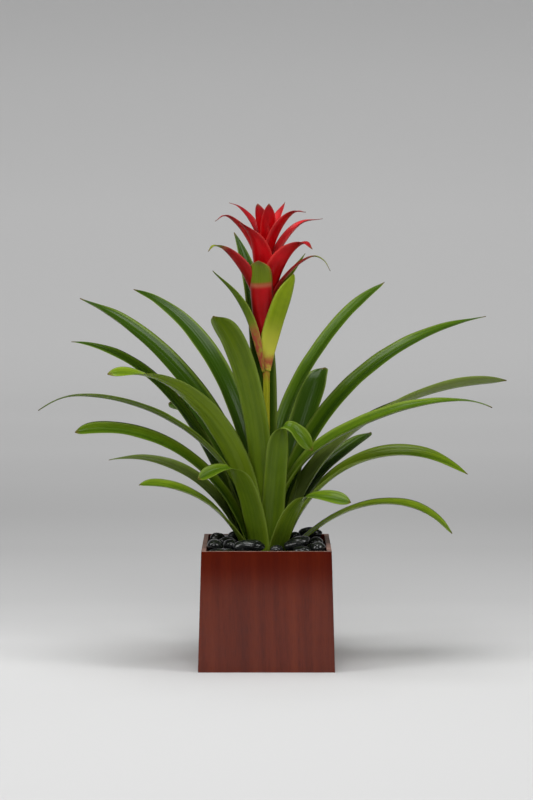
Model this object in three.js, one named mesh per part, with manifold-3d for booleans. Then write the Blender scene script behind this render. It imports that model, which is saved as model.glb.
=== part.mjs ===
// Potted bromeliad: a rosette of strap leaves round a flower stem with red bracts,
// in a tapered wooden pot whose top is covered with black river pebbles.
// Millimetres, +Z up. The origin is the centre of the pot's foot, and -Y is the front.
// Azimuths are degrees round +Z: 0 is right (+X), 90 is the back (+Y), 180 left, 270 the front.

import * as THREE from "three";
import { mergeVertices } from "three/addons/utils/BufferGeometryUtils.js";
import Module from "manifold-3d";

const wasm = await Module();
wasm.setup();

// ---------------------------------------------------------------- driving dimensions

const POT_FOOT = 178; // outside width at the foot
const POT_RIM = 169; // outside width at the rim
const POT_HEIGHT = 157.5;
const POT_WALL = 6;
const GAP = 0.3; // clearance between touching pieces

const LINER_WIDTH = 150;
const LINER_WALL = 1.8;
const LINER_TOP = 138;
const SOIL_TOP = 136;

const CROWN_BASE = SOIL_TOP + GAP; // where the leaf sheaths stand on the soil
const LEAF_THICKNESS = 1.1;
const FOLD_REACH = 0.07; // a fold is spread over this part of the length, each way
const FOLD_WAIST = 0.5; // of its width that a blade loses at a tight fold
const TIGHT_FOLD = 90; // degrees
const SHEATH_WIDTH = 34; // of a leaf at its foot
const CLASP_ANGLE = 120; // degrees of its ring that a sheath clasps at most
const CLASP_LENGTH = 80; // over which the clasping sheath opens out
const CHANNEL_RADIUS = 32; // of the blade's shallow channel
const TAPER_FROM = 0.5; // part of a blade's length from which it narrows to its tip
const LEAF_TAPER = 2.4; // the exponent of that narrowing, where a leaf states no blunter tip
const LEAF_TIP_WIDTH = 1.2;

const BRACT_THICKNESS = 0.8;
const BRACT_CLASP_LENGTH = 30;
const BRACT_CHANNEL_RADIUS = 16;
const BRACT_FOOT_SHARE = 0.25; // of its full width that a bract has at its foot
const BRACT_WIDE_AT = 0.36; // part of its length at which a bract reaches its full width
const BRACT_TAPER = 2;
const BRACT_TIP_WIDTH = 0.8;

const SCAPE_RADIUS = 4.6;
const SCAPE_TIP_RADIUS = 1.6;
const SCAPE_NARROWS = 400; // height from which the scape narrows
const SCAPE_TOP = 550;
const CAUDEX_RADIUS = 6.2; // the thicker foot of the stem, inside the sheaths
const CAUDEX_TOP = 178;
const CAUDEX_SHOULDER = 14; // height over which it narrows to the scape
const SCAPE_SIDES = 12;

const PEBBLE_PITCH = 23; // from one stone of the bed to the next
const PEBBLE_STRAY = 2; // how far a stone of the bed lies from its place in the rows
const BED_REACH = 3; // rows of stones on each side of the middle one
const BED_STONE_SIDES = 6;
const TOP_STONE_SIDES = 10;
const BED_STONE = [15, 12.5, 13]; // half length, half width and half height of a stone in the bed
const BED_HEIGHT = 149; // of the stones' centres
const CROWN_RADIUS = 38; // no stone of the bed lies nearer to the axis

const LEAF_SEGMENTS = 11; // along a leaf
const BRACT_SEGMENTS = 7;
const ACROSS_SEGMENTS = 4;
const STEPS_PER_SEGMENT = 8; // of the midrib, to follow its bends closely

const LEAF_COLOUR = 0x3f6b1a;
const BRACT_RED = 0xb01218;
const BRACT_GREEN = 0x8fa02a;
const WOOD_COLOUR = 0x5a2318;
const LINER_COLOUR = 0x1c1c1c;
const SOIL_COLOUR = 0x2b1d14;
const PEBBLE_COLOUR = 0x17181a;

// ---------------------------------------------------------------- leaves
// sheath: radius of the ring in which the leaf stands (the outer leaves have the largest)
// slopes: degrees above the horizontal at the foot, halfway and at the tip
// roll: how far the blade is rolled about its length at the foot, halfway and at the tip
// upright: the length over which a tall sheath leaves the vertical
// base: its sheath's width, where that is another than most have
// tip: exponent of the blade's narrowing, so how bluntly it ends
// turn: how far the blade swings sideways from its azimuth by the tip
// fold: [where along the blade, how many degrees it bends down there, and how many sideways]

const LEAVES = [
  { name: "leaf_back_upright", azimuth: 116, sheath: 9, length: 455, width: 38,
    slopes: [84, 86, 38] },
  { name: "leaf_right_tall", azimuth: 42, sheath: 10.7, length: 447, width: 34,
    slopes: [80, 54, 26], roll: [0, -8, 0], upright: 280, tip: 8 },
  { name: "leaf_left_tall", azimuth: 135, sheath: 12.4, length: 466, width: 35,
    slopes: [90, 56, 10], roll: [0, -5, -23] },
  { name: "leaf_front_tall", azimuth: 248, sheath: 12.4, length: 393, width: 34,
    slopes: [90, 67, 20], roll: [0, 6, 16], tip: 10 },
  { name: "leaf_left_hooked", azimuth: 205, sheath: 14.2, length: 368, width: 36,
    slopes: [86, 54, -7], roll: [0, 38, -36], tip: 10 },
  { name: "leaf_right_level", azimuth: 349, sheath: 14.2, length: 408, width: 42,
    slopes: [30, 27.2, -8], roll: [0, 16, -4], upright: 210, fold: [0.94, -18, 0], tip: 2.6 },
  { name: "leaf_right_arched", azimuth: 28, sheath: 15.9, length: 494, width: 36,
    slopes: [89, 41, 8], roll: [0, 10, 2], tip: 5 },
  { name: "leaf_left_longest", azimuth: 181, sheath: 15.9, length: 410, width: 24,
    slopes: [90, 34, -10], roll: [0, 22, 2], fold: [0.9, -24, 0], tip: 5 },
  { name: "leaf_back_left", azimuth: 104, sheath: 15.9, length: 330, width: 36,
    slopes: [80, 46, -10] },
  { name: "leaf_front_centre", azimuth: 287, sheath: 17, length: 246, width: 30,
    slopes: [84, 72, 60], roll: [0, -12, 76], fold: [0.79, -112, 78], tip: 9 },
  { name: "leaf_left_long", azimuth: 148, sheath: 17.6, length: 468, width: 42,
    slopes: [85, 48, 20], roll: [0, -9, 8], tip: 8 },
  { name: "leaf_front_left", azimuth: 234, sheath: 19.3, length: 190, width: 30,
    slopes: [84, 61, 18], roll: [0, 10, -40], fold: [0.745, -50, -45], tip: 10 },
  { name: "leaf_back_right", azimuth: 57, sheath: 19.3, length: 280, width: 46,
    slopes: [78, 62, 60], fold: [0.95, -40, 0], tip: 14 },
  { name: "leaf_left_blunt", azimuth: 184, sheath: 21, length: 319, width: 34,
    slopes: [79, 36.5, -11], roll: [-20, -20, -25], tip: 16 },
  { name: "leaf_right_dull", azimuth: 19, sheath: 21, length: 435, width: 47,
    slopes: [84, 30.8, 2], roll: [16, -6, -30], tip: 6 },
  { name: "leaf_back_mid", azimuth: 88, sheath: 21, length: 350, width: 34,
    slopes: [74, 34, -24] },
  { name: "leaf_left_slender", azimuth: 151, sheath: 22.7, length: 423, width: 34,
    slopes: [67, 49, 0], roll: [0, 4, -26] },
  { name: "leaf_right_low", azimuth: 350, sheath: 22.7, length: 321, width: 45,
    slopes: [78, 26.7, -36], roll: [0, 10, 20], tip: 3 },
  { name: "leaf_back_left_low", azimuth: 127, sheath: 24.4, length: 301, width: 32,
    slopes: [66, 50, -10], roll: [0, 0, -50], tip: 10 },
  { name: "leaf_right_dark", azimuth: 42, sheath: 24.4, length: 242, width: 36,
    slopes: [86, 35.7, 27], tip: 10 },
  { name: "leaf_front_right", azimuth: 298, sheath: 24.4, base: 26, length: 180, width: 27, turn: 45,
    slopes: [64, 48, 16], roll: [0, 0, 46], fold: [0.62, -34, 8], tip: 9 },
  { name: "leaf_left_dull", azimuth: 174, sheath: 26.1, length: 250, width: 34,
    slopes: [74, 36.5, -15], roll: [0, -14, -16], tip: 1.6 },
  { name: "leaf_back_low", azimuth: 96, sheath: 26.1, length: 280, width: 34,
    slopes: [64, 26, -40] },
  { name: "leaf_left_lowest", azimuth: 204, sheath: 27.8, length: 200, width: 34,
    slopes: [72, 34, -1], roll: [0, -16, -10], tip: 8 },
  { name: "leaf_right_lowest", azimuth: 8, sheath: 27.8, length: 259, width: 35,
    slopes: [50, 10, -53], roll: [0, 0, 33], tip: 4.2 },
];

// ---------------------------------------------------------------- bracts
// foot: height where the bract leaves the scape
// path: [distance from the scape's axis, height] of the points it passes, the last one its tip
// the others as for leaves

const BRACTS = [
  { name: "bract_top_centre", azimuth: 281, foot: 528, width: 21,
    path: [[9, 562], [16, 590], [17, 606]], tip: 3.4 },
  { name: "bract_top_left", azimuth: 215, foot: 526, width: 29,
    path: [[8, 562], [14, 590], [14, 606]], tip: 6 },
  { name: "bract_top_right", azimuth: 40, foot: 530, width: 22,
    path: [[8, 558], [20, 588], [32, 608]] },
  { name: "bract_left_upper", azimuth: 152, foot: 518, width: 20,
    path: [[10, 556], [25, 585], [42, 602], [56, 607]] },
  { name: "bract_right_upper", azimuth: 334, foot: 512, width: 30,
    path: [[9, 548], [26, 581], [42, 595], [57, 595]] },
  { name: "bract_back_upper", azimuth: 100, foot: 506, width: 24,
    path: [[9, 545], [22, 572], [34, 578]] },
  { name: "bract_right_mid", azimuth: 20, foot: 490, width: 28,
    path: [[10, 525], [25, 554], [50, 580], [79, 586]] },
  { name: "bract_left_mid", azimuth: 196, foot: 484, width: 32,
    path: [[10, 519], [24, 555], [42, 580], [57, 590], [70, 583]] },
  { name: "bract_front_centre", azimuth: 254, foot: 478, width: 38, turn: -36,
    path: [[17, 518], [27, 559], [46, 584]], tip: 1.4 },
  { name: "bract_back_mid", azimuth: 66, foot: 474, width: 28,
    path: [[10, 515], [26, 548], [42, 552]] },
  { name: "bract_right_low", azimuth: 330, foot: 454, width: 48,
    path: [[10, 484], [22, 518], [40, 544], [57, 554], [69, 547]] },
  { name: "bract_left_low", azimuth: 207, foot: 444, width: 36,
    path: [[12, 468], [27, 502], [45, 529], [65, 548], [77, 551], [85, 544]] },
  { name: "bract_back_low", azimuth: 96, foot: 438, width: 30,
    path: [[9, 475], [22, 512], [38, 530]] },
  { name: "bract_right_slender", azimuth: 350, foot: 428, width: 20,
    path: [[12, 486], [30, 514], [48, 530], [64, 537], [77, 531], [85, 518]] },
  { name: "bract_front_green_tip", azimuth: 236, foot: 410, width: 46, turn: 17,
    path: [[14, 440], [25, 480], [32, 517], [37, 532]], tip: 6 },
  { name: "scape_bract_behind", azimuth: 26, foot: 396, width: 32,
    path: [[8, 435], [22, 488], [57, 540]], green: true },
  { name: "scape_bract_left", azimuth: 203, foot: 384, width: 27,
    path: [[16, 421], [28, 456], [47, 488], [76, 519]], green: true },
  { name: "scape_bract_lime", azimuth: 322, foot: 386, width: 46,
    path: [[11, 412], [22, 444], [38, 486], [45, 515]], tip: 3.5, green: true },
];

// ---------------------------------------------------------------- pebbles
// The stones that lie on top of the bed: centre, then length, width and height, then how far
// the length is turned from the x axis, and how far its end is tilted up.

const TOP_PEBBLES = [
  { name: "pebble_front", centre: [-23, -54, 160.5], size: [42, 26, 17], turn: 4 },
  { name: "pebble_front_small", centre: [13, -60, 157], size: [17, 15, 12], turn: 20 },
  { name: "pebble_left", centre: [-68, -48, 160.5], size: [22, 19, 15], turn: 60 },
  { name: "pebble_left_inner", centre: [-48, -33, 159], size: [24, 18, 15], turn: 100 },
  { name: "pebble_back_left", centre: [-66, 50, 156.5], size: [22, 18, 15], turn: 30 },
  { name: "pebble_right_long", centre: [40, -35, 162], size: [38, 22, 16], turn: 25, tilt: 14 },
  { name: "pebble_right", centre: [67, -48, 157.5], size: [24, 20, 15], turn: 70 },
  { name: "pebble_back_right", centre: [59, 52, 162.5], size: [32, 24, 18], turn: -15 },
];

// ---------------------------------------------------------------- helpers

const radians = THREE.MathUtils.degToRad;
const smoothstep = THREE.MathUtils.smoothstep;

function named(name, geometry, colour, roughness = 0.6) {
  geometry.computeVertexNormals();
  const material = new THREE.MeshStandardMaterial({ color: colour, roughness, metalness: 0 });
  const mesh = new THREE.Mesh(geometry, material);
  mesh.name = name;
  return mesh;
}

// A closed geometry as a solid to cut, and a cut solid as a geometry again.
function solid(geometry) {
  geometry.deleteAttribute("normal").deleteAttribute("uv");
  const merged = mergeVertices(geometry, 1e-4);
  return new wasm.Manifold(new wasm.Mesh({
    numProp: 3,
    vertProperties: merged.attributes.position.array,
    triVerts: new Uint32Array(merged.index.array),
  }));
}

function geometryOf(cutSolid) {
  const mesh = cutSolid.getMesh();
  const geometry = new THREE.BufferGeometry();
  geometry.setAttribute("position", new THREE.BufferAttribute(new Float32Array(mesh.vertProperties), 3));
  geometry.setIndex([...mesh.triVerts]);
  return geometry;
}

function largestBody(cutSolid) {
  return cutSolid.decompose().sort((a, b) => b.volume() - a.volume())[0];
}

// The parabola that takes three values at the foot, halfway and at the tip.
function alongBlade([foot, middle, tip], t) {
  return foot + (4 * middle - 3 * foot - tip) * t + 2 * (foot + tip - 2 * middle) * t * t;
}

// Which way a blade faces: its tangent, the direction across it and its inner side.
function facing(slope, azimuth, roll) {
  const tangent = new THREE.Vector3(Math.cos(azimuth), Math.sin(azimuth), 0)
    .multiplyScalar(Math.cos(slope)).setZ(Math.sin(slope));
  const across = new THREE.Vector3(-Math.sin(azimuth), Math.cos(azimuth), 0).applyAxisAngle(tangent, roll);
  return { tangent, across, inner: new THREE.Vector3().crossVectors(tangent, across) };
}

// Where a leaf's midrib passes and which way the blade faces there, one entry per step.
function leafMidrib(spec, steps) {
  const [foldAt, foldDown, foldSideways] = spec.fold ?? [1, 0, 0];
  const point = new THREE.Vector3(spec.sheath, 0, CROWN_BASE)
    .applyAxisAngle(new THREE.Vector3(0, 0, 1), radians(spec.azimuth));
  const stations = [];
  for (let i = 0; i <= steps; i++) {
    const t = i / steps;
    const distance = t * spec.length;
    const folded = smoothstep(t, foldAt - FOLD_REACH, foldAt + FOLD_REACH);
    const held = 1 - smoothstep(distance, 0, spec.upright ?? 0);
    const slope = THREE.MathUtils.lerp(alongBlade(spec.slopes, t), 90, held) + foldDown * folded;
    const azimuth = spec.azimuth + (spec.turn ?? 0) * t * t + foldSideways * folded;
    const faces = facing(radians(slope), radians(azimuth), radians(alongBlade(spec.roll ?? [0, 0, 0], t)));
    stations.push({ t, distance, radius: Math.hypot(point.x, point.y), point: point.clone(), ...faces });
    point.addScaledVector(faces.tangent, spec.length / steps);
  }
  return stations;
}

// The same for a bract, which follows its path.
function bractMidrib(spec, steps) {
  const sheath = stemRadius(spec.foot) + BRACT_THICKNESS / 2 + GAP;
  const path = [[sheath, spec.foot], ...spec.path].map(([radius, z]) => new THREE.Vector3(radius, 0, z));
  const curve = new THREE.CatmullRomCurve3(path);
  return Array.from({ length: steps + 1 }, (_, i) => {
    const t = i / steps;
    const { x: radius, z } = curve.getPointAt(t);
    const direction = curve.getTangentAt(t);
    const azimuth = radians(spec.azimuth + (spec.turn ?? 0) * t * t);
    const point = new THREE.Vector3(radius * Math.cos(azimuth), radius * Math.sin(azimuth), z);
    const roll = radians(alongBlade(spec.roll ?? [0, 0, 0], t));
    const faces = facing(Math.atan2(direction.z, direction.x), azimuth, roll);
    return { t, distance: t * curve.getLength(), radius, point, ...faces };
  });
}

// A closed blade: a box whose length follows the midrib and whose width is cupped towards its inner side.
function bladeGeometry(stations, widthAt, cupAt, thickness, segments) {
  const box = new THREE.BoxGeometry(1, 1, 1, ACROSS_SEGMENTS, 1, segments);
  const position = box.attributes.position;
  const vertex = new THREE.Vector3();
  for (let i = 0; i < position.count; i++) {
    const t = position.getZ(i) + 0.5;
    const station = stations[Math.round(t * (stations.length - 1))];
    const cup = cupAt(station);
    const angle = position.getX(i) * widthAt(station) * cup;
    const lift = position.getY(i) * thickness;
    vertex
      .copy(station.point)
      .addScaledVector(station.across, Math.sin(angle) * (1 / cup - lift))
      .addScaledVector(station.inner, (1 - Math.cos(angle)) / cup + lift * Math.cos(angle));
    position.setXYZ(i, vertex.x, vertex.y, vertex.z);
  }
  return box;
}

// ---------------------------------------------------------------- pot

// One mitred wall: the front one, turned about Z for the other three.
function potWall(name, quarterTurns) {
  const box = new THREE.BoxGeometry(1, 1, 1);
  const position = box.attributes.position;
  for (let i = 0; i < position.count; i++) {
    const height = (position.getZ(i) + 0.5) * POT_HEIGHT;
    const inset = (position.getY(i) + 0.5) * POT_WALL;
    const outside = THREE.MathUtils.lerp(POT_FOOT, POT_RIM, height / POT_HEIGHT) / 2;
    const side = Math.sign(position.getX(i)) * (outside - inset - GAP / 2);
    position.setXYZ(i, side, -(outside - inset), height);
  }
  const wall = named(name, box, WOOD_COLOUR, 0.35);
  wall.rotation.z = (quarterTurns * Math.PI) / 2;
  return wall;
}

function potBase() {
  const insideFoot = POT_FOOT - 2 * POT_WALL - 2 * GAP;
  const taper = ((POT_FOOT - POT_RIM) * POT_WALL) / POT_HEIGHT;
  const box = new THREE.BoxGeometry(1, 1, POT_WALL);
  const position = box.attributes.position;
  for (let i = 0; i < position.count; i++) {
    const width = position.getZ(i) > 0 ? insideFoot - taper : insideFoot;
    position.setX(i, position.getX(i) * width);
    position.setY(i, position.getY(i) * width);
  }
  const base = named("pot_base", box, WOOD_COLOUR, 0.6);
  base.position.z = POT_WALL / 2;
  return base;
}

// A four-sided lathe turned 45 degrees is a square box; its profile radius is the half diagonal.
function squareLathe(profile) {
  const points = profile.map(([halfWidth, z]) => new THREE.Vector2(halfWidth * Math.SQRT2, z));
  return new THREE.LatheGeometry(points, 4).rotateX(Math.PI / 2).rotateZ(Math.PI / 4);
}

function liner() {
  const foot = POT_WALL + GAP;
  const outside = LINER_WIDTH / 2;
  const inside = outside - LINER_WALL;
  return named("plastic_liner", squareLathe([
    [0, foot], [outside, foot], [outside, LINER_TOP], [inside, LINER_TOP],
    [inside, foot + LINER_WALL], [0, foot + LINER_WALL],
  ]), LINER_COLOUR, 0.5);
}

function soil() {
  const foot = POT_WALL + LINER_WALL + 2 * GAP;
  const half = LINER_WIDTH / 2 - LINER_WALL - GAP;
  const profile = [[0, foot], [half, foot], [half, SOIL_TOP], [0, SOIL_TOP]];
  return named("soil", squareLathe(profile), SOIL_COLOUR, 0.95);
}

// ---------------------------------------------------------------- plant

// 1 where a sheath clasps what is inside it, falling to 0 along the blade.
const clasp = (distance, length) => Math.exp(-((distance / length) ** 2));

// The share of its width that a blade still has at t, for an exponent of narrowing.
const narrowed = (t, exponent) => 1 - Math.max(0, (t - TAPER_FROM) / (1 - TAPER_FROM)) ** exponent;

// The share of its width that a leaf keeps near its fold.
function waist(spec, t) {
  const [foldAt, foldDown, foldSideways] = spec.fold ?? [1, 0, 0];
  const tightness = Math.min(1, Math.hypot(foldDown, foldSideways) / TIGHT_FOLD);
  return 1 - FOLD_WAIST * tightness * Math.exp(-(((t - foldAt) / FOLD_REACH) ** 2));
}

function leafGeometry(spec, allowance) {
  const stations = leafMidrib(spec, LEAF_SEGMENTS * STEPS_PER_SEGMENT);
  const claspWidth = spec.base ?? Math.min(SHEATH_WIDTH, radians(CLASP_ANGLE) * spec.sheath);
  const widthAt = ({ t, distance }) => {
    const width = THREE.MathUtils.lerp(spec.width, claspWidth, clasp(distance, CLASP_LENGTH));
    const share = narrowed(t, spec.tip ?? LEAF_TAPER) * waist(spec, t);
    return width * share + LEAF_TIP_WIDTH + 2 * allowance;
  };
  const cupAt = ({ distance, radius }) =>
    THREE.MathUtils.lerp(1 / CHANNEL_RADIUS, 1 / radius, clasp(distance, CLASP_LENGTH));
  return bladeGeometry(stations, widthAt, cupAt, LEAF_THICKNESS + 2 * allowance, LEAF_SEGMENTS);
}

function bractGeometry(spec, allowance) {
  const stations = bractMidrib(spec, BRACT_SEGMENTS * STEPS_PER_SEGMENT);
  const widthAt = ({ t }) => {
    const widening = Math.sin(Math.PI / 2 * Math.min(t / BRACT_WIDE_AT, 1));
    const width = spec.width * THREE.MathUtils.lerp(BRACT_FOOT_SHARE, 1, widening);
    return width * narrowed(t, spec.tip ?? BRACT_TAPER) + BRACT_TIP_WIDTH + 2 * allowance;
  };
  const cupAt = ({ distance, radius }) =>
    THREE.MathUtils.lerp(1 / BRACT_CHANNEL_RADIUS, 1 / radius, clasp(distance, BRACT_CLASP_LENGTH));
  return bladeGeometry(stations, widthAt, cupAt, BRACT_THICKNESS + 2 * allowance, BRACT_SEGMENTS);
}

// The pieces press against each other: each one is trimmed back from those placed before it,
// which are kept one gap larger all over.
function nested(specs, makeGeometry, placed) {
  return specs.map((spec) => {
    let blade = solid(makeGeometry(spec, 0));
    placed.forEach((jacket) => {
      blade = blade.subtract(jacket);
    });
    placed.push(solid(makeGeometry(spec, GAP)));
    return { spec, geometry: geometryOf(largestBody(blade)) };
  });
}

// The stem narrows from the crown up and runs out inside the flower head.
const STEM = [
  [CAUDEX_RADIUS, CROWN_BASE],
  [CAUDEX_RADIUS, CAUDEX_TOP],
  [SCAPE_RADIUS, CAUDEX_TOP + CAUDEX_SHOULDER],
  [SCAPE_RADIUS, SCAPE_NARROWS],
  [SCAPE_TIP_RADIUS, SCAPE_TOP],
];

function stemRadius(height) {
  const narrowing = (height - SCAPE_NARROWS) / (SCAPE_TOP - SCAPE_NARROWS);
  return THREE.MathUtils.lerp(SCAPE_RADIUS, SCAPE_TIP_RADIUS, THREE.MathUtils.clamp(narrowing, 0, 1));
}

function scapeGeometry(allowance) {
  const points = [[0, CROWN_BASE], ...STEM, [0, SCAPE_TOP]]
    .map(([radius, z]) => new THREE.Vector2(radius && radius + allowance, z));
  return new THREE.LatheGeometry(points, SCAPE_SIDES).rotateX(Math.PI / 2);
}

// ---------------------------------------------------------------- pebbles

// A stone: a sphere squashed to its three half sizes, tilted and turned.
function stone([halfLength, halfWidth, halfHeight], turn, tilt, [x, y, z], segments) {
  return new THREE.SphereGeometry(1, segments, segments - 2)
    .rotateX(Math.PI / 2)
    .scale(halfLength, halfWidth, halfHeight)
    .rotateY(-radians(tilt))
    .rotateZ(radians(turn))
    .translate(x, y, z);
}

function topPebble({ centre, size, turn, tilt = 0 }, allowance) {
  return stone(size.map((side) => side / 2 + allowance), turn, tilt, centre, TOP_STONE_SIDES);
}

function squareBlock(width, foot, top) {
  return solid(new THREE.BoxGeometry(width, width, top - foot).translate(0, 0, (foot + top) / 2));
}

// The rest of the stones lie locked together and are one body: rows of them from wall to
// wall round the crown, flat where they lie on the soil and clear of all that touches them.
function pebbleBed(jackets) {
  let bed = null;
  for (let column = -BED_REACH; column <= BED_REACH; column++) {
    for (let row = -BED_REACH; row <= BED_REACH; row++) {
      const turn = 70 * column + 50 * row; // no two neighbours lie alike
      const x = PEBBLE_PITCH * column + PEBBLE_STRAY * Math.sin(radians(turn));
      const y = PEBBLE_PITCH * row + PEBBLE_STRAY * Math.cos(radians(turn));
      if (Math.hypot(x, y) > CROWN_RADIUS) {
        const centre = [x, y, BED_HEIGHT + Math.sin(column * row)];
        const next = solid(stone(BED_STONE, turn, 0, centre, BED_STONE_SIDES));
        bed = bed ? bed.add(next) : next;
      }
    }
  }
  const insideWalls = POT_RIM - 2 * POT_WALL - 2 * GAP;
  const insideLiner = LINER_WIDTH - 2 * LINER_WALL - 2 * GAP;
  const space = squareBlock(insideWalls, CROWN_BASE, 2 * POT_HEIGHT);
  const linerRim = squareBlock(POT_FOOT, 0, LINER_TOP + GAP)
    .subtract(squareBlock(insideLiner, 0, POT_HEIGHT));
  bed = bed.intersect(space).subtract(linerRim);
  jackets.forEach((jacket) => {
    bed = bed.subtract(jacket);
  });
  return geometryOf(largestBody(bed));
}

// ---------------------------------------------------------------- the whole object

const pot = new THREE.Group();
["pot_front", "pot_right", "pot_back", "pot_left"].forEach((name, turns) => pot.add(potWall(name, turns)));
pot.add(potBase(), liner(), soil());

const plant = new THREE.Group();
const placed = [solid(scapeGeometry(GAP))];
plant.add(named("flower_stem", scapeGeometry(0), BRACT_GREEN, 0.5));
nested(BRACTS, bractGeometry, placed).forEach(({ spec, geometry }) =>
  plant.add(named(spec.name, geometry, spec.green ? BRACT_GREEN : BRACT_RED, 0.4)));
nested(LEAVES, leafGeometry, placed).forEach(({ spec, geometry }) =>
  plant.add(named(spec.name, geometry, LEAF_COLOUR, 0.45)));

const pebbles = new THREE.Group();
nested(TOP_PEBBLES, topPebble, placed).forEach(({ spec, geometry }) =>
  pebbles.add(named(spec.name, geometry, PEBBLE_COLOUR, 0.25)));
pebbles.add(named("pebble_bed", pebbleBed(placed), PEBBLE_COLOUR, 0.3));

const bromeliad = new THREE.Group();
bromeliad.add(pot, plant, pebbles);

export default bromeliad;
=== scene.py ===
"""Potted bromeliad: the leaves, bracts, stem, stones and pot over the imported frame.

Lengths are in millimetres and are written to the meshes in metres. Azimuths are degrees round +Z:
0 is right (+X), 90 the back (+Y), 180 left and 270 the front, as in the model."""

import math
import random

import bpy
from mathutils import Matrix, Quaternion, Vector, noise

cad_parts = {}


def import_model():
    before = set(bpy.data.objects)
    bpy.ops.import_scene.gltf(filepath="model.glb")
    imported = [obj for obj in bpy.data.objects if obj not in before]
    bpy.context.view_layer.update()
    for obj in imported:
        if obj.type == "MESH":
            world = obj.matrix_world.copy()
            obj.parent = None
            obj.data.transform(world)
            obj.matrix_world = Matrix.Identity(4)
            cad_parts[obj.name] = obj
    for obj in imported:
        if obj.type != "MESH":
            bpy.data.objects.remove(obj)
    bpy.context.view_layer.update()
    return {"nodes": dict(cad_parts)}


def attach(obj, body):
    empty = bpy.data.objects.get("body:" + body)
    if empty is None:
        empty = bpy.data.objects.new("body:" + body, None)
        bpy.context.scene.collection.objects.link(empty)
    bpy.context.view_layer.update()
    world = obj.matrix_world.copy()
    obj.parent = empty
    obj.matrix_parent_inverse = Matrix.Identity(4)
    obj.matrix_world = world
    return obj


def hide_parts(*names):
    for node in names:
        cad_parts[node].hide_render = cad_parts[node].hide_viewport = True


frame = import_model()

MM = 0.001

# ---------------------------------------------------------------- dimensions, as in the model

POT_RIM = 169
POT_HEIGHT = 157.5
POT_WALL = 6
GAP = 0.3
SOIL_TOP = 136
CROWN_BASE = SOIL_TOP + GAP
LEAF_THICKNESS = 1.1
FOLD_REACH = 0.07
FOLD_WAIST = 0.5
TIGHT_FOLD = 90
CLASP_ANGLE = 120
SHEATH_WIDTH = 34
CLASP_LENGTH = 80
SHEATH_LENGTH = 130
CHANNEL_RADIUS = 32
TAPER_FROM = 0.5
LEAF_TAPER = 2.4
LEAF_TIP_WIDTH = 1.2
BRACT_THICKNESS = 0.8
BRACT_CLASP_LENGTH = 30
BRACT_CHANNEL_RADIUS = 16
BRACT_FOOT_SHARE = 0.25
BRACT_WIDE_AT = 0.36
BRACT_TAPER = 2
BRACT_TIP_WIDTH = 0.8
SCAPE_RADIUS = 4.6
SCAPE_TIP_RADIUS = 1.6
SCAPE_NARROWS = 400
SCAPE_TOP = 550
CAUDEX_RADIUS = 6.2
CAUDEX_TOP = 178
CAUDEX_SHOULDER = 14

# ---------------------------------------------------------------- leaves
# As in the model, and here also: light, from 0 for a dark leaf to 1 for a lime green one, partly
# each leaf's own colour and partly painted light and shade: raised on leaves that lie in shade,
# lowered on leaves lit from above, and lime where light shines through a thin leaf;
# olive, how far its colour is dulled.

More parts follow.
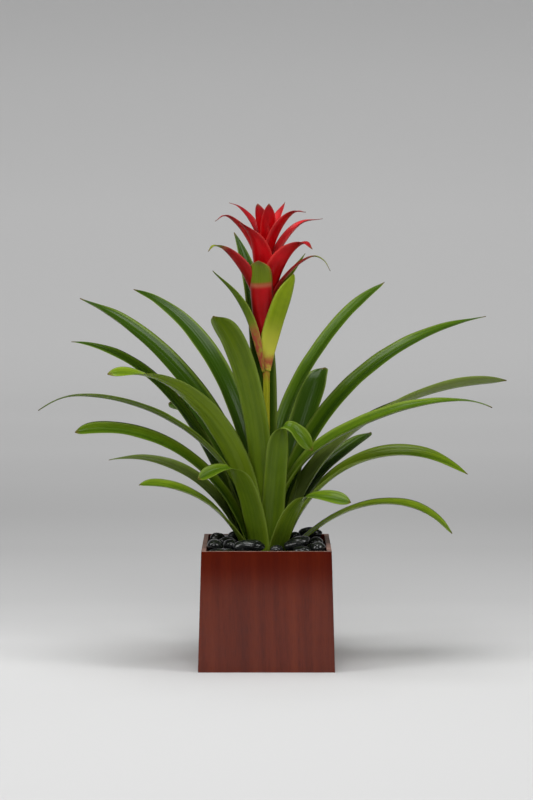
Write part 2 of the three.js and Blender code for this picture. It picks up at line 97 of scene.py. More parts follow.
LEAVES = [
    dict(name="back_upright", azimuth=116, sheath=9, length=455, width=38,
         slopes=(84, 86, 38), light=0.0),
    dict(name="right_tall", azimuth=42, sheath=10.7, length=447, width=34,
         slopes=(80, 54, 26), roll=(0, -8, 0), upright=280, tip=8, light=0.4),
    dict(name="left_tall", azimuth=135, sheath=12.4, length=466, width=35,
         slopes=(90, 56, 10), roll=(0, -5, -23), light=0.0),
    dict(name="front_tall", azimuth=248, sheath=12.4, length=393, width=34,
         slopes=(90, 67, 20), roll=(0, 6, 16), tip=10, light=0.75),
    dict(name="left_hooked", azimuth=205, sheath=14.2, length=368, width=36,
         slopes=(86, 54, -7), roll=(0, 38, -36), tip=10, light=0.9),
    dict(name="right_level", azimuth=349, sheath=14.2, length=408, width=42,
         slopes=(30, 27.2, -8), roll=(0, 16, -4), upright=210, tip=2.6, light=0.55,
         fold=(0.94, -18, 0)),
    dict(name="right_arched", azimuth=28, sheath=15.9, length=494, width=36,
         slopes=(89, 41, 8), roll=(0, 10, 2), tip=5, light=0.35),
    dict(name="left_longest", azimuth=181, sheath=15.9, length=410, width=24,
         slopes=(90, 34, -10), roll=(0, 22, 2), fold=(0.9, -24, 0), tip=5, light=0.75),
    dict(name="back_left", azimuth=104, sheath=15.9, length=330, width=36,
         slopes=(80, 46, -10), light=0.2),
    dict(name="front_centre", azimuth=287, sheath=17, length=246, width=30,
         slopes=(84, 72, 60), roll=(0, -12, 76), fold=(0.79, -112, 78), tip=9, light=0.6),
    dict(name="left_long", azimuth=148, sheath=17.6, length=468, width=42,
         slopes=(85, 48, 20), roll=(0, -9, 8), tip=8, light=0.1),
    dict(name="front_left", azimuth=234, sheath=19.3, length=190, width=30,
         slopes=(84, 61, 18), roll=(0, 10, -40), fold=(0.745, -50, -45), tip=10, light=0.65),
    dict(name="back_right", azimuth=57, sheath=19.3, length=280, width=46,
         slopes=(78, 62, 60), fold=(0.95, -40, 0), tip=14, light=0.0),
    dict(name="left_blunt", azimuth=184, sheath=21, length=319, width=34,
         slopes=(79, 36.5, -11), roll=(-20, -20, -25), tip=16, light=0.6),
    dict(name="right_dull", azimuth=19, sheath=21, length=435, width=47,
         slopes=(84, 30.8, 2), roll=(16, -6, -30), tip=6, light=0.65, olive=0.6),
    dict(name="back_mid", azimuth=88, sheath=21, length=350, width=34,
         slopes=(74, 34, -24), light=0.2),
    dict(name="left_slender", azimuth=151, sheath=22.7, length=423, width=34,
         slopes=(67, 49, 0), roll=(0, 4, -26), light=0.35),
    dict(name="right_low", azimuth=350, sheath=22.7, length=321, width=45,
         slopes=(78, 26.7, -36), roll=(0, 10, 20), tip=3, light=0.8),
    dict(name="back_left_low", azimuth=127, sheath=24.4, length=301, width=32,
         slopes=(66, 50, -10), tip=10, light=0.15, roll=(0, 0, -50)),
    dict(name="right_dark", azimuth=42, sheath=24.4, length=242, width=36,
         slopes=(86, 35.7, 27), tip=10, light=0.35),
    dict(name="front_right", azimuth=298, sheath=24.4, length=180, width=27, turn=45,
         slopes=(64, 48, 16), roll=(0, 0, 46), fold=(0.62, -34, 8), tip=9, light=0.6, base=26),
    dict(name="left_dull", azimuth=174, sheath=26.1, length=250, width=34,
         slopes=(74, 36.5, -15), roll=(0, -14, -16), tip=1.6, light=0.45, olive=0.5),
    dict(name="back_low", azimuth=96, sheath=26.1, length=280, width=34,
         slopes=(64, 26, -40), light=0.2),
    dict(name="left_lowest", azimuth=204, sheath=27.8, length=200, width=34,
         slopes=(72, 34, -1), roll=(0, -16, -10), tip=8, light=0.7),
    dict(name="right_lowest", azimuth=8, sheath=27.8, length=259, width=35,
         slopes=(50, 10, -53), roll=(0, 0, 33), tip=4.2, light=0.9),
]

# ---------------------------------------------------------------- bracts
# As in the model, and here also: green, the part of the length from which the tip is green;
# pale and dull, how far the red is paled and dulled; the dulling is partly the bract's own duller
# red and partly painted shade, on bracts that the light from above falls on.

BRACTS = [
    dict(name="top_centre", azimuth=281, foot=528, width=21,
         path=((9, 562), (16, 590), (17, 606)), tip=3.4),
    dict(name="top_left", azimuth=215, foot=526, width=29,
         path=((8, 562), (14, 590), (14, 606)), tip=6),
    dict(name="top_right", azimuth=40, foot=530, width=22,
         path=((8, 558), (20, 588), (32, 608)), pale=0.15),
    dict(name="left_upper", azimuth=152, foot=518, width=20,
         path=((10, 556), (25, 585), (42, 602), (56, 607)), dull=0.8),
    dict(name="right_upper", azimuth=334, foot=512, width=30,
         path=((9, 548), (26, 581), (42, 595), (57, 595))),
    dict(name="back_upper", azimuth=100, foot=506, width=24, path=((9, 545), (22, 572), (34, 578))),
    dict(name="right_mid", azimuth=20, foot=490, width=28,
         path=((10, 525), (25, 554), (50, 580), (79, 586)), pale=0.12),
    dict(name="left_mid", azimuth=196, foot=484, width=32,
         path=((10, 519), (24, 555), (42, 580), (57, 590), (70, 583))),
    dict(name="front_centre", azimuth=254, foot=478, width=38, turn=-36,
         path=((17, 518), (27, 559), (46, 584)), tip=1.4),
    dict(name="back_mid", azimuth=66, foot=474, width=28, path=((10, 515), (26, 548), (42, 552))),
    dict(name="right_low", azimuth=330, foot=454, width=48,
         path=((10, 484), (22, 518), (40, 544), (57, 554), (69, 547))),
    dict(name="left_low", azimuth=207, foot=444, width=36,
         path=((12, 468), (27, 502), (45, 529), (65, 548), (77, 551), (85, 544)),
         green=0.86, dull=0.4),
    dict(name="back_low", azimuth=96, foot=438, width=30, path=((9, 475), (22, 512), (38, 530))),
    dict(name="right_slender", azimuth=350, foot=428, width=20,
         path=((12, 486), (30, 514), (48, 530), (64, 537), (77, 531), (85, 518)),
         green=0.8, dull=0.4),
    dict(name="front_green_tip", azimuth=236, foot=410, width=46, turn=17,
         path=((14, 440), (25, 480), (32, 517), (37, 532)), tip=6, green=0.75, dull=0.3),
]

# light is as for the leaves; red_until, the part of the length up to which the foot is flushed red
GREEN_BRACTS = [
    dict(name="behind", azimuth=26, foot=396, width=32, path=((8, 435), (22, 488), (57, 540)),
         light=0.6, red_until=0.2),
    dict(name="left", azimuth=203, foot=384, width=27,
         path=((16, 421), (28, 456), (47, 488), (76, 519)), light=0.5, red_until=0.42),
    dict(name="lime", azimuth=322, foot=386, width=46,
         path=((11, 412), (22, 444), (38, 486), (45, 515)), tip=3.5, light=1.0, red_until=0.17),
]

# ---------------------------------------------------------------- small helpers


def lerp(a, b, t):
    return a + (b - a) * t


def smoothstep(x, start, end):
    if end <= start:
        return 1.0 if x >= end else 0.0
    t = min(1.0, max(0.0, (x - start) / (end - start)))
    return t * t * (3 - 2 * t)


def hump(x, reach):
    """1 at 0, and falling off on both sides."""
    return math.exp(-((x / reach) ** 2))


def along_blade(values, t):
    """The parabola that takes three values at the foot, halfway and at the tip."""
    foot, middle, tip = values
    return foot + (4 * middle - 3 * foot - tip) * t + 2 * (foot + tip - 2 * middle) * t * t


def mesh_piece(name, points, faces, material, uvs=None, layers=None):
    """An object from points in millimetres; uvs holds a pair and each layer a number per point."""
    mesh = bpy.data.meshes.new(name)
    mesh.from_pydata([tuple(MM * c for c in p) for p in points], [], faces)
    mesh.polygons.foreach_set("use_smooth", [True] * len(mesh.polygons))
    if uvs:
        layer = mesh.uv_layers.new(name="Blade")
        for loop in mesh.loops:
            layer.data[loop.index].uv = uvs[loop.vertex_index]
    for key, values in (layers or {}).items():
        mesh.attributes.new(key, "FLOAT", "POINT").data.foreach_set("value", values)
    mesh.materials.append(material)
    mesh.update()
    piece = bpy.data.objects.new(name, mesh)
    bpy.context.scene.collection.objects.link(piece)
    return piece


def settle(piece, slot, *nodes):
    """The piece rides on the plant's one body and stands for the nodes; slot is not used."""
    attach(piece, "root")
    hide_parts(*nodes)


# ---------------------------------------------------------------- node trees


class Shader:
    """A material with one Principled shader, and short ways to add nodes to it."""

    def __init__(self, name, **settings):
        self.material = bpy.data.materials.new(name)
        self.material.use_nodes = True
        self.tree = self.material.node_tree
        self.surface = self.tree.nodes["Principled BSDF"]
        for socket, value in settings.items():
            self.surface.inputs[socket.replace("_", " ")].default_value = value

    def node(self, kind, **inputs):
        node = self.tree.nodes.new(kind)
        for socket, value in inputs.items():
            self.feed(node.inputs[socket.replace("_", " ")], value)
        return node

    def feed(self, socket, value):
        if isinstance(value, bpy.types.NodeSocket):
            self.tree.links.new(value, socket)
        else:
            socket.default_value = value

    def value(self, key):
        """A layer of the mesh."""
        node = self.node("ShaderNodeAttribute")
        node.attribute_name = key
        return node.outputs["Fac"]

    def uv(self):
        node = self.node("ShaderNodeUVMap")
        node.uv_map = "Blade"
        return node.outputs[0]

    def place(self):
        return self.node("ShaderNodeTexCoord").outputs["Object"]

    def parts(self, vector):
        return self.node("ShaderNodeSeparateXYZ", Vector=vector).outputs

    def noise(self, vector, scale, detail=3.0, roughness=0.55):
        """Noise of one scale, or of one for each axis."""
        if isinstance(scale, tuple):
            vector = self.node("ShaderNodeMapping", Vector=vector, Scale=scale).outputs[0]
            scale = 1.0
        node = self.node("ShaderNodeTexNoise", Vector=vector, Scale=scale, Detail=detail,
                         Roughness=roughness)
        return node.outputs["Fac"]

    def blade_noise(self, across, along, detail=2.0):
        """Noise that changes so many times across a blade and along it."""
        return self.noise(self.uv(), (across, along, 1), detail)

    def varied(self, tone, *noises):
        """A tone that strays with each noise by its span, from its lowest to its highest."""
        for factor, span in noises:
            stray = self.math("MULTIPLY", self.math("ADD", factor, -0.5), span)
            tone = self.math("ADD", tone, stray)
        return tone

    def ramp(self, factor, *stops):
        """A colour ramp of (place, colour or grey) stops."""
        node = self.node("ShaderNodeValToRGB", Fac=factor)
        elements = node.color_ramp.elements
        while len(elements) < len(stops):
            elements.new(0.5)
        for element, (place, colour) in zip(elements, stops):
            red, green, blue = colour if isinstance(colour, tuple) else (colour, colour, colour)
            element.position = place
            element.color = (red, green, blue, 1)
        return node.outputs["Color"]

    def mix(self, factor, a, b, blend="MIX"):
        node = self.tree.nodes.new("ShaderNodeMix")
        node.data_type = "RGBA"
        node.blend_type = blend
        self.feed(node.inputs[0], factor)
        for socket, value in ((node.inputs[6], a), (node.inputs[7], b)):
            self.feed(socket, (*value, 1) if isinstance(value, tuple) else value)
        return node.outputs[2]

    def over(self, under, colour, key, share=1.0):
        """A colour laid over another as far as a layer of the mesh says, by its share at most."""
        factor = self.value(key)
        if share < 1:
            factor = self.math("MULTIPLY", factor, share)
        return self.mix(factor, under, colour)

    def math(self, operation, a, b=0.0, clamp=False):
        node = self.tree.nodes.new("ShaderNodeMath")
        node.operation = operation
        node.use_clamp = clamp
        self.feed(node.inputs[0], a)
        self.feed(node.inputs[1], b)
        return node.outputs[0]

    def bump(self, height, strength, distance):
        """Relief, its distance in metres."""
        node = self.node("ShaderNodeBump", Height=height, Strength=strength, Distance=distance)
        self.tree.links.new(node.outputs[0], self.surface.inputs["Normal"])

    def colour(self, value):
        self.feed(self.surface.inputs["Base Color"], value)

    def rough(self, value):
        self.feed(self.surface.inputs["Roughness"], value)


# ---------------------------------------------------------------- finishes of the plant
# Colours are linear red, green and blue, and a ramp's stops are (place, colour). Noise is scaled
# per metre on stem, pot and stones, and per width and per length on a blade.

LEAF_GREENS = (
    (0.0, (0.024, 0.056, 0.003)), (0.35, (0.052, 0.105, 0.004)),
    (0.7, (0.105, 0.175, 0.007)), (1.0, (0.18, 0.265, 0.012)))
LEAF_OUTER_SIDE = (0.13, 0.19, 0.02)
LEAF_OLIVE = (0.20, 0.255, 0.065)
LEAF_SHEATH = (0.16, 0.23, 0.008)
# pale margin: partly the leaf's own colour and partly painted light shining through the thin edge
LEAF_MARGIN_AND_PAINTED_LIGHT = (0.25, 0.33, 0.06)
LEAF_BROWN_TIP = (0.14, 0.08, 0.02)
# painted shade in the channel along the midrib
CHANNEL_PAINTED_SHADE = 0.3
OUTER_SIDE_SHARE = 0.2
LINES_IN_RELIEF = 0.08


def leaf_material():
    """Green, darker or lighter by leaf, partly its own colour and partly painted light and shade,
    and darker along the midrib's channel in painted shade; duller on the outer side, with fine
    parallel veins, a brown tip, and a pale thin margin that is partly painted light through the
    thin edge."""
    shader = Shader("leaf", IOR=1.45, Specular_IOR_Level=0.12)
    lines = shader.blade_noise(across=46, along=3)
    stripes = shader.blade_noise(across=9, along=0.7, detail=0.0)
    patches = shader.blade_noise(across=2.5, along=7, detail=3.0)
    # light: partly each leaf's own colour and partly painted light and shade, as told at LEAVES
    tone = shader.varied(shader.value("light"), (patches, 0.5), (stripes, 0.32), (lines, 0.2))
    # painted shade in the channel along the midrib, on the inner side
    channel = shader.math("MULTIPLY", shader.value("channel"), -CHANNEL_PAINTED_SHADE)
    green = shader.ramp(shader.math("ADD", tone, channel, clamp=True), *LEAF_GREENS)
    green = shader.over(green, shader.mix(OUTER_SIDE_SHARE, green, LEAF_OUTER_SIDE), "outer")
    green = shader.over(green, LEAF_OLIVE, "olive")
    green = shader.over(green, LEAF_SHEATH, "sheath", share=0.6)
    # pale margin, partly painted light shining through the thin edge
    green = shader.over(green, LEAF_MARGIN_AND_PAINTED_LIGHT, "margin", share=0.6)
    dryness = shader.ramp(patches, (0.3, 0.4), (0.6, 1.0))
    brown = shader.math("MULTIPLY", shader.value("tip"), dryness)
    shader.colour(shader.mix(brown, green, LEAF_BROWN_TIP))
    shader.rough(shader.ramp(lines, (0.3, 0.20), (0.7, 0.30)))
    relief = shader.math("ADD", shader.math("MULTIPLY", lines, LINES_IN_RELIEF), stripes)
    shader.bump(relief, strength=0.4, distance=0.0025)
    return shader.material


BRACT_REDS = (
    (0.25, (0.36, 0.001, 0.003)), (0.5, (0.52, 0.002, 0.005)), (0.75, (0.68, 0.005, 0.010)))
BRACT_PALE_RED = (0.66, 0.13, 0.14)
# painted shade: the darker red at a bract's foot, inside the flower head
BRACT_SHADED_FOOT_RED = (0.24, 0.004, 0.006)
# a duller, darker red, partly the bract's own and partly painted shade
BRACT_DULL_AND_SHADE_RED = (0.22, 0.011, 0.014)
BRACT_TIP_GREENS = ((0.3, (0.12, 0.17, 0.008)), (0.7, (0.19, 0.25, 0.012)))
BRACT_EDGE_OF_GREEN = (0.45, 0.16, 0.08)
BRACT_MARGIN = (0.66, 0.12, 0.10)
BRACT_BROWN_TIP = (0.14, 0.07, 0.03)


def bract_material():
    """Glossy red, paler or duller on some bracts and duller towards the tip, the dulling partly
    their own colour and partly painted shade; darker towards the foot in painted shade, inside
    the flower head; green at some tips.
    """
    shader = Shader("red_bract", IOR=1.45, Specular_IOR_Level=0.18)
    lines = shader.blade_noise(across=34, along=2.5)
    patches = shader.blade_noise(across=2, along=5, detail=3.0)
    red = shader.ramp(patches, *BRACT_REDS)
    red = shader.over(red, BRACT_PALE_RED, "pale")
    # painted shade towards the foot, inside the flower head
    red = shader.over(red, BRACT_SHADED_FOOT_RED, "foot", share=0.6)
    # duller red, partly the bract's own and partly painted shade
    red = shader.over(red, BRACT_DULL_AND_SHADE_RED, "dull")
    red = shader.over(red, shader.ramp(lines, *BRACT_TIP_GREENS), "green")
    red = shader.over(red, BRACT_EDGE_OF_GREEN, "edge", share=0.8)
    red = shader.over(red, BRACT_MARGIN, "margin", share=0.3)
    shader.colour(shader.over(red, BRACT_BROWN_TIP, "tip"))
    shader.rough(shader.ramp(lines, (0.3, 0.28), (0.7, 0.38)))
    shader.bump(lines, strength=0.2, distance=0.0003)
    return shader.material


GREEN_BRACT_GREENS = (
    (0.0, (0.042, 0.085, 0.004)), (0.5, (0.11, 0.18, 0.006)), (1.0, (0.25, 0.34, 0.007)))
GREEN_BRACT_YELLOW = (0.66, 0.64, 0.07)
GREEN_BRACT_RED = (0.44, 0.075, 0.045)
GREEN_BRACT_MARGIN = (0.40, 0.45, 0.08)
GREEN_BRACT_BROWN_TIP = (0.14, 0.09, 0.03)
GREEN_BRACT_DARKER = 0.05


def green_bract_material():
    """Green to lime, yellower towards the foot and there flushed red in patches. The lime is partly
    painted light that shines through the thin bract.
    """
    shader = Shader("green_bract", IOR=1.45, Specular_IOR_Level=0.15)
    lines = shader.blade_noise(across=40, along=2.5)
    stripes = shader.blade_noise(across=9, along=1.2)
    patches = shader.blade_noise(across=4, along=14, detail=3.0)
    # light: partly the bract's own colour and partly painted light shining through it
    tone = shader.varied(shader.value("light"), (patches, 0.35), (stripes, 0.4))
    tone = shader.math("ADD", tone, -GREEN_BRACT_DARKER, clamp=True)
    green = shader.ramp(tone, *GREEN_BRACT_GREENS)
    green = shader.over(green, GREEN_BRACT_YELLOW, "yellow")
    flush = shader.ramp(patches, (0.36, 0.3), (0.55, 1.0))
    green = shader.mix(shader.math("MULTIPLY", shader.value("red"), flush), green, GREEN_BRACT_RED)
    green = shader.over(green, GREEN_BRACT_MARGIN, "margin", share=0.4)
    shader.colour(shader.over(green, GREEN_BRACT_BROWN_TIP, "tip"))
    shader.rough(shader.ramp(lines, (0.3, 0.32), (0.7, 0.44)))
    shader.bump(lines, strength=0.25, distance=0.0003)
    return shader.material


STEM_LIMES = (
    (0.3, (0.22, 0.24, 0.006)), (0.6, (0.34, 0.34, 0.012)), (0.8, (0.50, 0.46, 0.06)))
STEM_FLUSH_RED = (0.42, 0.08, 0.04)
STEM_FLUSH_FROM = 300
STEM_FLUSH = ((0.28, 0.0), (0.34, 0.8), (0.5, 0.5), (0.8, 0.8))  # from that height to the top


def stem_material():
    """Lime yellow with pale upright stripes, and a red flush in the flower head and below it."""
    shader = Shader("stem", IOR=1.45, Specular_IOR_Level=0.28)
    place = shader.place()
    lines = shader.noise(place, (900, 900, 30), detail=2.0)
    blotches = shader.ramp(shader.noise(place, (120, 120, 60)), (0.42, 0.0), (0.58, 1.0))
    height = shader.math("ADD", shader.parts(place)["Z"], -STEM_FLUSH_FROM * MM)
    share = shader.math("MULTIPLY", height, 1 / ((SCAPE_TOP - STEM_FLUSH_FROM) * MM), clamp=True)
    flush = shader.math("MULTIPLY", shader.ramp(share, *STEM_FLUSH), blotches)
    shader.colour(shader.mix(flush, shader.ramp(lines, *STEM_LIMES), STEM_FLUSH_RED))
    shader.rough(0.42)
    shader.bump(lines, strength=0.3, distance=0.0004)
    return shader.material


# ---------------------------------------------------------------- finishes of the pot and its fill

WOOD_REDS = (
    (0.30, (0.092, 0.0095, 0.0020)), (0.5, (0.130, 0.015, 0.0028)), (0.70, (0.180, 0.024, 0.005)))
# painted shade: the darker red of the upper boards
WOOD_SHADED_RED = (0.080, 0.004, 0.0015)
WOOD_SAWN = ((0.3, (0.17, 0.082, 0.062)), (0.7, (0.31, 0.187, 0.15)))
WOOD_GRAIN_SHARE = 0.35
WOOD_PORES_SHARE = 0.25
WOOD_SHADE_SHARE = 0.55
WOOD_COAT = 0.74
SAWN_COAT = 0.15


def wood_material():
    """Polished red boards with upright grain, darker towards the rim in painted shade, and paler
    sawn rims.
    """
    shader = Shader("pot_wood", Specular_IOR_Level=0.0, Coat_Roughness=0.11)
    parts = shader.parts(shader.place())
    sideways = shader.math("ADD", parts["X"], parts["Y"])
    board = shader.node("ShaderNodeCombineXYZ", X=sideways, Y=parts["Z"]).outputs[0]
    bands = shader.noise(board, (46, 2.2, 1))
    grain = shader.noise(board, (420, 9, 1), detail=4.0)
    pores = shader.noise(board, (1500, 60, 1), detail=2.0)
    red = shader.ramp(bands, *WOOD_REDS)
    red = shader.mix(
        WOOD_GRAIN_SHARE, red, shader.ramp(grain, (0.3, 0.55), (0.7, 1.0)), "MULTIPLY")
    red = shader.mix(
        WOOD_PORES_SHARE, red, shader.ramp(pores, (0.35, 0.2), (0.55, 1.0)), "MULTIPLY")
    # painted shade: the boards darker towards the rim
    height = shader.math("MULTIPLY", parts["Z"], 1 / (POT_HEIGHT * MM))
    upper = shader.ramp(height, (0.62, 0.0), (0.85, 1.0))
    red = shader.mix(upper, red, shader.mix(WOOD_SHADE_SHARE, red, WOOD_SHADED_RED))
    normal = shader.node("ShaderNodeNewGeometry").outputs["Normal"]
    rim = shader.ramp(shader.parts(normal)["Z"], (0.6, 0.0), (0.85, 1.0))
    shader.colour(shader.mix(rim, red, shader.ramp(grain, *WOOD_SAWN)))
    coat = shader.ramp(rim, (0.0, WOOD_COAT), (1.0, SAWN_COAT))
    shader.feed(shader.surface.inputs["Coat Weight"], coat)
    shader.rough(shader.ramp(grain, (0.3, 0.26), (0.7, 0.38)))
    shader.bump(shader.math("ADD", grain, pores), strength=0.08, distance=0.0004)
    return shader.material


STONE_GREYS = (
    (0.35, (0.004, 0.005, 0.005)), (0.62, (0.014, 0.016, 0.015)), (0.8, (0.05, 0.055, 0.052)))
STONE_VEIN = (0.42, 0.44, 0.42)


def stone_material():
    """Polished black river stone with grey mottling and thin pale veins."""
    shader = Shader(
        "river_stone", IOR=1.5, Specular_IOR_Level=0.3, Coat_Weight=0.3, Coat_Roughness=0.06)
    place = shader.place()
    clouds = shader.noise(place, (60, 90, 120), detail=5.0, roughness=0.65)
    streaks = shader.noise(place, (90, 260, 420), detail=6.0, roughness=0.7)
    veins = shader.math(
        "MULTIPLY", shader.ramp(streaks, (0.56, 0.0), (0.70, 0.7)), shader.value("veined"))
    shader.colour(shader.mix(veins, shader.ramp(clouds, *STONE_GREYS), STONE_VEIN))
    shader.rough(shader.ramp(clouds, (0.3, 0.18), (0.7, 0.34)))
    shader.bump(streaks, strength=0.08, distance=0.0004)
    return shader.material


SOIL_BROWNS = ((0.35, (0.006, 0.004, 0.003)), (0.65, (0.045, 0.028, 0.017)))
PLASTIC_BLACK = (0.012, 0.012, 0.012, 1)


def soil_material():
    """Dark crumbs."""
    shader = Shader("potting_soil")
    crumbs = shader.noise(shader.place(), 260, detail=6.0, roughness=0.7)
    shader.colour(shader.ramp(crumbs, *SOIL_BROWNS))
    shader.rough(0.95)
    shader.bump(crumbs, strength=1.0, distance=0.003)
    return shader.material


def plastic_material():
    """Black, with a fine moulded grain."""
    shader = Shader("liner_plastic", IOR=1.46)
    grain = shader.noise(shader.place(), 900)
    shader.colour(PLASTIC_BLACK)
    shader.rough(shader.ramp(grain, (0.3, 0.42), (0.7, 0.55)))
    shader.bump(grain, strength=0.1, distance=0.0003)
    return shader.material


# ---------------------------------------------------------------- blades

LEAF_STEPS = 88
BRACT_STEPS = 56
COLUMNS = 14  # across a blade
TIP_THICKNESS = 0.55  # of a blade's thickness at its foot
RIPPLE_LENGTH = 34
RIPPLE_GROWS = (0.15, 0.5)  # over this part of the length
SIDES_APART = 0.6  # in the noise, so that the two margins ripple differently
CREASE_REACH = 0.16  # from the midrib, as a part of half the width, as the next three
CHANNEL_SHADE_REACH = 0.4
MARGIN = (0.78, 0.96)
SHEATH_MARGIN = (0.35, 0.95)
LEAF_RIPPLE = 1.2
LEAF_CREASE = 0.5
BRACT_RIPPLE = 0.8
BRACT_CREASE = 0.3
CURVE_STEPS = 400


def facing(slope, azimuth, roll=0.0):
    """(tangent, across, inner side) of a blade, from angles in radians."""
    tangent = Vector((math.cos(azimuth) * math.cos(slope), math.sin(azimuth) * math.cos(slope),
                      math.sin(slope)))
    across = Vector((-math.sin(azimuth), math.cos(azimuth), 0))
    across.rotate(Quaternion(tangent, roll))
    return tangent, across, tangent.cross(across)


def leaf_midrib(spec):
    """One (t, distance, radius, point, across, inner) per step, as in the model."""
    fold_at, fold_down, fold_sideways = spec.get("fold", (1, 0, 0))
    azimuth = math.radians(spec["azimuth"])
    point = Vector(
        (spec["sheath"] * math.cos(azimuth), spec["sheath"] * math.sin(azimuth), CROWN_BASE))
    stations = []
    for i in range(LEAF_STEPS + 1):
        t = i / LEAF_STEPS
        distance = t * spec["length"]
        folded = smoothstep(t, fold_at - FOLD_REACH, fold_at + FOLD_REACH)
        held = 1 - smoothstep(distance, 0, spec.get("upright", 0))
        slope = lerp(along_blade(spec["slopes"], t), 90, held) + fold_down * folded
        azimuth = spec["azimuth"] + spec.get("turn", 0) * t * t + fold_sideways * folded
        roll = along_blade(spec.get("roll", (0, 0, 0)), t)
        tangent, across, inner = facing(*map(math.radians, (slope, azimuth, roll)))
        radius = math.hypot(point.x, point.y)
        stations.append((t, distance, radius, point.copy(), across, inner))
        point += tangent * (spec["length"] / LEAF_STEPS)
    return stations


def catmull_rom(points, t):
    """Point at t on the centripetal Catmull-Rom curve through the points."""
    last = len(points) - 1
    place = last * t
    k = min(int(place), last - 1)
    w = place - k
    p1, p2 = points[k], points[k + 1]
    p0 = points[k - 1] if k > 0 else 2 * points[0] - points[1]
    p3 = points[k + 2] if k + 2 <= last else 2 * points[last] - points[last - 1]
    d0, d1, d2 = (math.sqrt((b - a).length) for a, b in ((p0, p1), (p1, p2), (p2, p3)))
    m1 = ((p1 - p0) / d0 - (p2 - p0) / (d0 + d1) + (p2 - p1) / d1) * d1
    m2 = ((p2 - p1) / d1 - (p3 - p1) / (d1 + d2) + (p3 - p2) / d2) * d1
    return p1 + m1 * w + (3 * (p2 - p1) - 2 * m1 - m2) * w**2 + (2 * (p1 - p2) + m1 + m2) * w**3


def evenly(points, steps):
    """steps + 1 points at even distances on the curve, and its length."""
    curve = [catmull_rom(points, i / CURVE_STEPS) for i in range(CURVE_STEPS + 1)]
    reached = [0.0]
    for a, b in zip(curve, curve[1:]):
        reached.append(reached[-1] + (b - a).length)
    places, k = [], 0
    for i in range(steps + 1):
        wanted = reached[-1] * i / steps
        while k < CURVE_STEPS - 1 and reached[k + 1] < wanted:
            k += 1
        share = (wanted - reached[k]) / (reached[k + 1] - reached[k])
        places.append(curve[k].lerp(curve[k + 1], share))
    return places, reached[-1]


def stem_radius(height):
    narrowing = (height - SCAPE_NARROWS) / (SCAPE_TOP - SCAPE_NARROWS)
    return lerp(SCAPE_RADIUS, SCAPE_TIP_RADIUS, min(1, max(0, narrowing)))


def bract_midrib(spec):
    """As leaf_midrib, for a bract, which follows its path."""
    sheath = stem_radius(spec["foot"]) + BRACT_THICKNESS / 2 + GAP
    path = [Vector((r, z)) for r, z in ((sheath, spec["foot"]), *spec["path"])]
    places, length = evenly(path, BRACT_STEPS)
    stations = []
    for i, place in enumerate(places):
        t = i / BRACT_STEPS
        ahead = places[min(i + 1, BRACT_STEPS)] - places[max(i - 1, 0)]
        azimuth = math.radians(spec["azimuth"] + spec.get("turn", 0) * t * t)
        point = Vector((place.x * math.cos(azimuth), place.x * math.sin(azimuth), place.y))
        _, across, inner = facing(math.atan2(ahead.y, ahead.x), azimuth)
        stations.append((t, t * length, place.x, point, across, inner))
    return stations


def narrowed(t, exponent):
    """The share of its width that a blade still has at t."""
    return 1 - max(0, (t - TAPER_FROM) / (1 - TAPER_FROM)) ** exponent


def waist(spec, t):
    """The share of its width that a folded leaf keeps near its fold."""
    fold_at, fold_down, fold_sideways = spec.get("fold", (1, 0, 0))
    tightness = min(1, math.hypot(fold_down, fold_sideways) / TIGHT_FOLD)
    return 1 - FOLD_WAIST * tightness * hump(t - fold_at, FOLD_REACH)


def blade(name, stations, width_at, cup_at, thickness, material, layers_at, ripple, crease):
    """A closed blade, lens-shaped across, its margins shared by the inner and the outer side.
    ripple is how far the margins wave, and crease how deep the midrib's channel is."""
    seed = sum(map(ord, name))
    points, uvs, faces = [], [], []
    layers = {}
    half = COLUMNS // 2
    ring = 2 * COLUMNS
    for station in stations:
        t, distance, _, point, across, inner = station
        width, cup = width_at(station), cup_at(station)
        for k in range(ring):
            outer = k > COLUMNS
            column = ring - k if outer else k
            u = (column - half) / half
            depth = thickness * math.sqrt(max(0.0, 1 - u**4)) * lerp(1, TIP_THICKNESS, t)
            wave = ripple * u * u * smoothstep(t, *RIPPLE_GROWS) * noise.noise(
                (distance / RIPPLE_LENGTH, seed + math.copysign(SIDES_APART, u), 0))
            lift = (-0.5 if outer else 0.5) * depth - crease * hump(u, CREASE_REACH) + wave
            angle = u * width / 2 * cup
            points.append(point + across * (math.sin(angle) * (1 / cup - lift))
                          + inner * ((1 - math.cos(angle)) / cup + lift * math.cos(angle)))
            uvs.append((seed % 7 + 0.5 + u / 2, seed % 11 + t))  # each blade in a place of its own
            values = layers_at(t, distance, u)
            values["outer"] = 1.0 if outer else 0.0
            # the pale margin; on leaves it is partly painted light shining through the thin edge
            values["margin"] = smoothstep(abs(u), *MARGIN)
            # how deep the painted shade in the midrib's channel is, on the inner side only
            values["channel"] = 0.0 if outer else hump(u, CHANNEL_SHADE_REACH)
            for key, value in values.items():
                layers.setdefault(key, []).append(value)
    rows = len(stations)
    for i in range(rows - 1):
        for k in range(ring):
            a, b = i * ring + k, i * ring + (k + 1) % ring
            faces.append((a, b, b + ring, a + ring))
    faces.append(tuple(reversed(range(ring))))
    faces.append(tuple(range((rows - 1) * ring, rows * ring)))
    return mesh_piece(name, points, faces, material, uvs, layers)


LEAF_BROWN_FROM = 0.975  # parts of a blade's length, as all below
# painted shade over the outer part of each bract, over this part of its length, by so much at most
BRACT_TIPWARD_SHADE_SPAN = (0.7, 0.95)
BRACT_TIPWARD_SHADE_DEPTH = 0.7
BRACT_BROWNS = (0.93, 1.0)
BRACT_BROWNS_BY = 0.8
